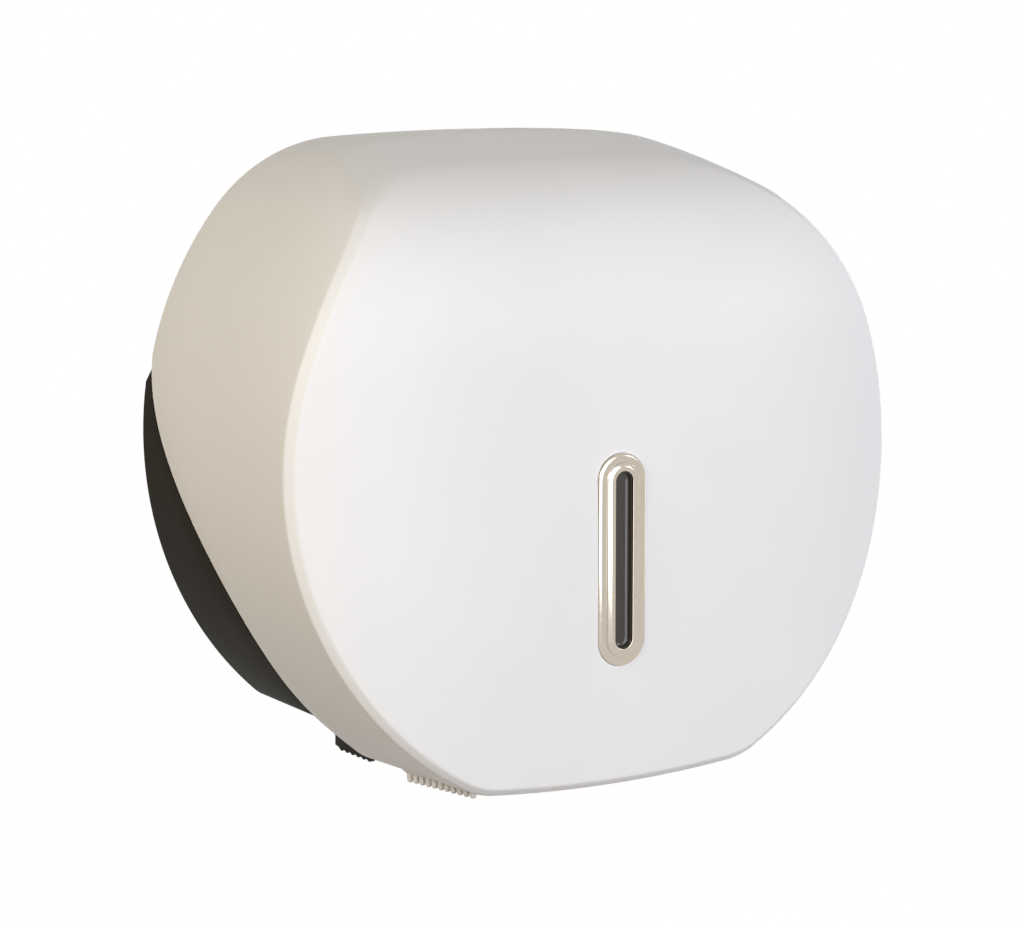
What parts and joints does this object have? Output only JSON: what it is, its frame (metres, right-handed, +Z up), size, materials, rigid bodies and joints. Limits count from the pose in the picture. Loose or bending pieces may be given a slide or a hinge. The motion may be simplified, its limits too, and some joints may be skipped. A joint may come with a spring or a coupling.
{
  "type": "jumbo toilet roll dispenser",
  "caption": "Wall dispenser for a jumbo toilet roll: white shell cover hinged at the bottom, dark base with spindle and hub, level window, side lock and tear combs at the paper slot.",
  "frame": {"origin": "the roll's axis on the wall plane, which is the middle of the four wall screw slots", "axes": "+X right as seen from the front, +Y into the wall, +Z up"},
  "size_m": [0.27, 0.137, 0.2461],
  "materials": {
    "base_dark": "fine matt moulded plastic",
    "comb_dark": "moulded plastic",
    "cover_white": "white moulded plastic with a soft gloss",
    "comb_white": "white moulded plastic",
    "bezel_chrome": "bright nickel-chrome plating",
    "lens_smoke": "smoked clear plastic, polished",
    "retainer_black": "black moulded plastic",
    "lock_chrome": "chromed zinc casting",
    "lock_barrel": "nickel-plated brass",
    "zinc_steel": "zinc-plated steel",
    "screw_steel": "plated steel",
    "post_grey": "moulded plastic",
    "hub_grey": "moulded plastic"
  },
  "bodies": {
    "base": {"base_plate": "base_dark", "base_comb_left": "comb_dark", "base_comb_right": "comb_dark", "lock_keeper": "zinc_steel", "keeper_screws": "screw_steel", "spindle_post": "post_grey", "spindle_screws": "screw_steel", "hub_washer": "post_grey", "hub_screw": "screw_steel"},
    "cover": {"cover": "cover_white", "cover_comb_left": "comb_white", "cover_comb_right": "comb_white", "window_frame": "bezel_chrome", "window_lens": "lens_smoke", "window_retainer": "retainer_black", "lock_housing": "lock_chrome", "lock_nut": "zinc_steel", "hinge_pin_left": "screw_steel", "hinge_pin_right": "screw_steel"},
    "hub": {"core_hub": "hub_grey"},
    "latch": {"lock_barrel": "lock_barrel", "lock_cam": "zinc_steel", "cam_screw": "screw_steel"}
  },
  "joints": [
    {"name": "cover_hinge", "type": "hinge", "parent": "base", "child": "cover", "pos_m": [0, -0.05, -0.1065], "axis": [1, 0, 0], "range_deg": [0, 100]},
    {"name": "hub_spin", "type": "hinge", "parent": "base", "child": "hub", "pos_m": [0, -0.05, 0], "axis": [0, -1, 0], "continuous": true},
    {"name": "lock_turn", "type": "hinge", "parent": "cover", "child": "latch", "pos_m": [0.12, -0.042, 0.01], "axis": [1, 0, 0], "range_deg": [0, 90]}
  ]
}
